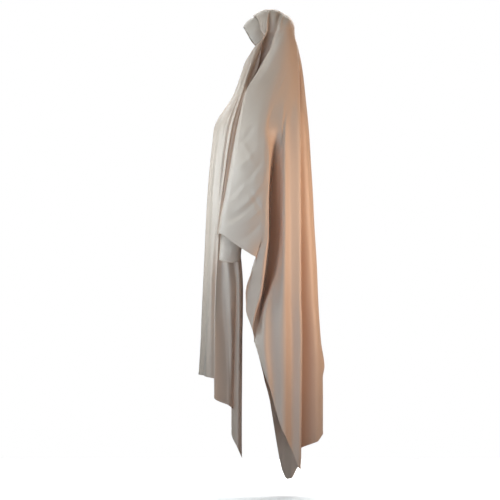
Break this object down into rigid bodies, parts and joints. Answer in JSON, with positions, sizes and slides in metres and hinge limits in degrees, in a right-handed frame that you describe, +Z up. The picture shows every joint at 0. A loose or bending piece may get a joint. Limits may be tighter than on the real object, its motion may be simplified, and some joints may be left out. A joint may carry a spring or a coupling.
{
  "type": "khimar veil",
  "caption": "Full-length overhead khimar veil with a gathered hood on a forehead band, a long front panel with side flaps, and wrist cuffs, in the form it has when worn.",
  "frame": {"origin": "the inside of the crown, where the veil sits on the head", "axes": "+X the wearer's left, -Y the front with the face opening, +Z up"},
  "size_m": [0.5606, 0.4174, 1.6068],
  "materials": {
    "veil_cloth": "satin-backed crepe with a soft sheen",
    "band_cloth": "fine twill, matt"
  },
  "bodies": {
    "root": {"back_panel_left": "veil_cloth", "back_panel_right": "veil_cloth", "front_panel": "veil_cloth", "forehead_band": "band_cloth", "cuff_left": "veil_cloth", "cuff_right": "veil_cloth"}
  },
  "joints": []
}
